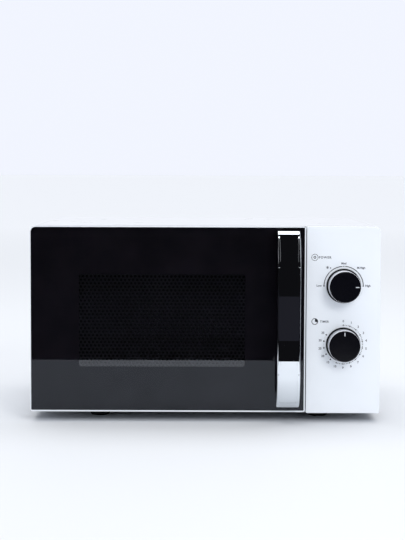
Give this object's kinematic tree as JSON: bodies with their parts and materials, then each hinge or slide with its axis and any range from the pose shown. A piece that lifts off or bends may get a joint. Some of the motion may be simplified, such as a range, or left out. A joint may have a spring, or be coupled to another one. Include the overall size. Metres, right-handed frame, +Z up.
{
  "type": "microwave oven",
  "caption": "Countertop microwave oven: hinged black-glass door with chrome bow handle, white casing and control panel with two dials, glass turntable and machine bay inside.",
  "frame": {"origin": "on the surface the oven stands on, under the middle of its overall box", "axes": "+Z up, the front faces -Y, +X to the right as seen from the front"},
  "size_m": [0.452, 0.37, 0.254],
  "materials": {
    "cabinet_paint": "semi-gloss white powder coat",
    "zinc_sheet": "galvanised sheet",
    "foot_rubber": "matt",
    "black_plastic": "satin moulded",
    "knob_plastic": "satin moulded",
    "screw_steel": "zinc plated",
    "cavity_enamel": "light grey epoxy paint",
    "mica": "pressed mica",
    "clear_glass": "clear",
    "ceramic": "glazed",
    "panel_plastic": "glossy white",
    "door_glass": "black glass, printed on the back",
    "screen_paint": "black paint",
    "clear_film": "clear film",
    "chrome": "polished",
    "latch_plastic": "moulded",
    "spring_steel": "bright",
    "hinge_steel": "zinc plated",
    "timer_plastic": "moulded",
    "aluminium": "bright",
    "core_steel": "varnished laminations",
    "copper": "enamelled winding",
    "fan_plastic": "moulded",
    "circuit_board": "lacquered board",
    "roller_plastic": "moulded",
    "tray_glass": "clear pressed glass",
    "button_plastic": "moulded"
  },
  "bodies": {
    "casing": {"outer_cabinet": "cabinet_paint", "base_plate": "zinc_sheet", "back_panel": "zinc_sheet", "feet": "foot_rubber", "cord_gland": "black_plastic", "casing_screws": "screw_steel", "front_plate": "cavity_enamel", "cavity_wrap": "cavity_enamel", "cavity_ceiling": "cavity_enamel", "cavity_floor": "cavity_enamel", "waveguide_cover": "mica", "lamp_bulb": "clear_glass", "lamp_holder": "ceramic", "upper_hinge": "hinge_steel", "lower_hinge": "hinge_steel", "control_panel": "panel_plastic", "timer_unit": "timer_plastic", "timer_bell": "hinge_steel", "latch_board": "latch_plastic", "interlock_switches": "black_plastic", "magnetron": "zinc_sheet", "magnetron_fins": "aluminium", "magnetron_filter_box": "zinc_sheet", "waveguide": "zinc_sheet", "transformer_core": "core_steel", "transformer_windings": "copper", "hv_capacitor": "aluminium", "capacitor_clamp": "zinc_sheet", "hv_diode": "black_plastic", "fan_shroud": "zinc_sheet", "fan_motor": "core_steel", "air_duct": "fan_plastic", "fuse_board": "circuit_board", "turntable_motor": "zinc_sheet"},
    "door": {"door_frame": "panel_plastic", "door_glass": "door_glass", "door_screen": "screen_paint", "window_film": "clear_film", "choke_cover": "black_plastic", "door_handle": "chrome", "handle_insert": "chrome", "latch_spring": "spring_steel"},
    "latch": {"door_latch": "latch_plastic"},
    "power_dial": {"power_knob": "knob_plastic", "power_knob_ring": "chrome", "power_shaft": "screw_steel"},
    "timer_dial": {"timer_knob": "knob_plastic", "timer_knob_ring": "chrome", "timer_shaft": "screw_steel"},
    "coupler": {"turntable_coupler": "roller_plastic", "turntable_shaft": "screw_steel"},
    "tray": {"glass_tray": "tray_glass"},
    "roller_ring": {"roller_ring": "roller_plastic"},
    "roller_1": {"roller_1": "roller_plastic"},
    "roller_2": {"roller_2": "roller_plastic"},
    "roller_3": {"roller_3": "roller_plastic"},
    "fan": {"fan_blade": "fan_plastic"},
    "primary_plunger": {"primary_plunger": "button_plastic"},
    "monitor_plunger": {"monitor_plunger": "button_plastic"},
    "secondary_plunger": {"secondary_plunger": "button_plastic"}
  },
  "joints": [
    {"name": "door_swing", "type": "hinge", "parent": "casing", "child": "door", "pos_m": [-0.221, -0.133, 0.133], "axis": [0, 0, -1], "range_deg": [0, 100]},
    {"name": "latch_lift", "type": "slide", "parent": "door", "child": "latch", "axis": [0, 0, 1], "range_m": [0, 0.004], "stiffness_N_per_m": 400, "springref_m": -0.004, "deforming": ["latch_spring"]},
    {"name": "power_turn", "type": "hinge", "parent": "casing", "child": "power_dial", "pos_m": [0.17825, -0.15, 0.1775], "axis": [0, -1, 0], "range_deg": [0, 180]},
    {"name": "timer_turn", "type": "hinge", "parent": "casing", "child": "timer_dial", "pos_m": [0.17825, -0.15, 0.1015], "axis": [0, 1, 0], "range_deg": [0, 300]},
    {"name": "coupler_spin", "type": "hinge", "parent": "casing", "child": "coupler", "pos_m": [-0.059, 0.019, 0.0455], "axis": [0, 0, 1], "continuous": true},
    {"name": "tray_lift", "type": "slide", "parent": "coupler", "child": "tray", "axis": [0, 0, 1], "range_m": [0, 0.03]},
    {"name": "ring_spin", "type": "hinge", "parent": "casing", "child": "roller_ring", "pos_m": [-0.059, 0.019, 0.0455], "axis": [0, 0, 1], "continuous": true},
    {"name": "fan_spin", "type": "hinge", "parent": "casing", "child": "fan", "pos_m": [0.16, 0.15, 0.179], "axis": [0, 1, 0], "continuous": true},
    {"name": "roller_1_spin", "type": "hinge", "parent": "roller_ring", "child": "roller_1", "pos_m": [-0.059, 0.1065, 0.0455], "axis": [0, 1, 0], "continuous": true},
    {"name": "roller_2_spin", "type": "hinge", "parent": "roller_ring", "child": "roller_2", "pos_m": [-0.13478, -0.02475, 0.0455], "axis": [-0.866, -0.5, 0], "continuous": true},
    {"name": "roller_3_spin", "type": "hinge", "parent": "roller_ring", "child": "roller_3", "pos_m": [0.01678, -0.02475, 0.0455], "axis": [0.866, -0.5, 0], "continuous": true},
    {"name": "primary_press", "type": "slide", "parent": "casing", "child": "primary_plunger", "axis": [0, 1, 0], "range_m": [0, 0.0012], "stiffness_N_per_m": 500, "springref_m": -0.001},
    {"name": "monitor_press", "type": "slide", "parent": "casing", "child": "monitor_plunger", "axis": [0, 1, 0], "range_m": [0, 0.0012], "stiffness_N_per_m": 500, "springref_m": -0.001},
    {"name": "secondary_press", "type": "slide", "parent": "casing", "child": "secondary_plunger", "axis": [0, 1, 0], "range_m": [0, 0.0012], "stiffness_N_per_m": 500, "springref_m": -0.001}
  ],
  "couplings": [
    {"joint": "ring_spin", "follows": "coupler_spin", "ratio": 0.5},
    {"joint": "roller_1_spin", "follows": "coupler_spin", "ratio": -5.9524},
    {"joint": "roller_2_spin", "follows": "coupler_spin", "ratio": -5.9524},
    {"joint": "roller_3_spin", "follows": "coupler_spin", "ratio": -5.9524}
  ]
}
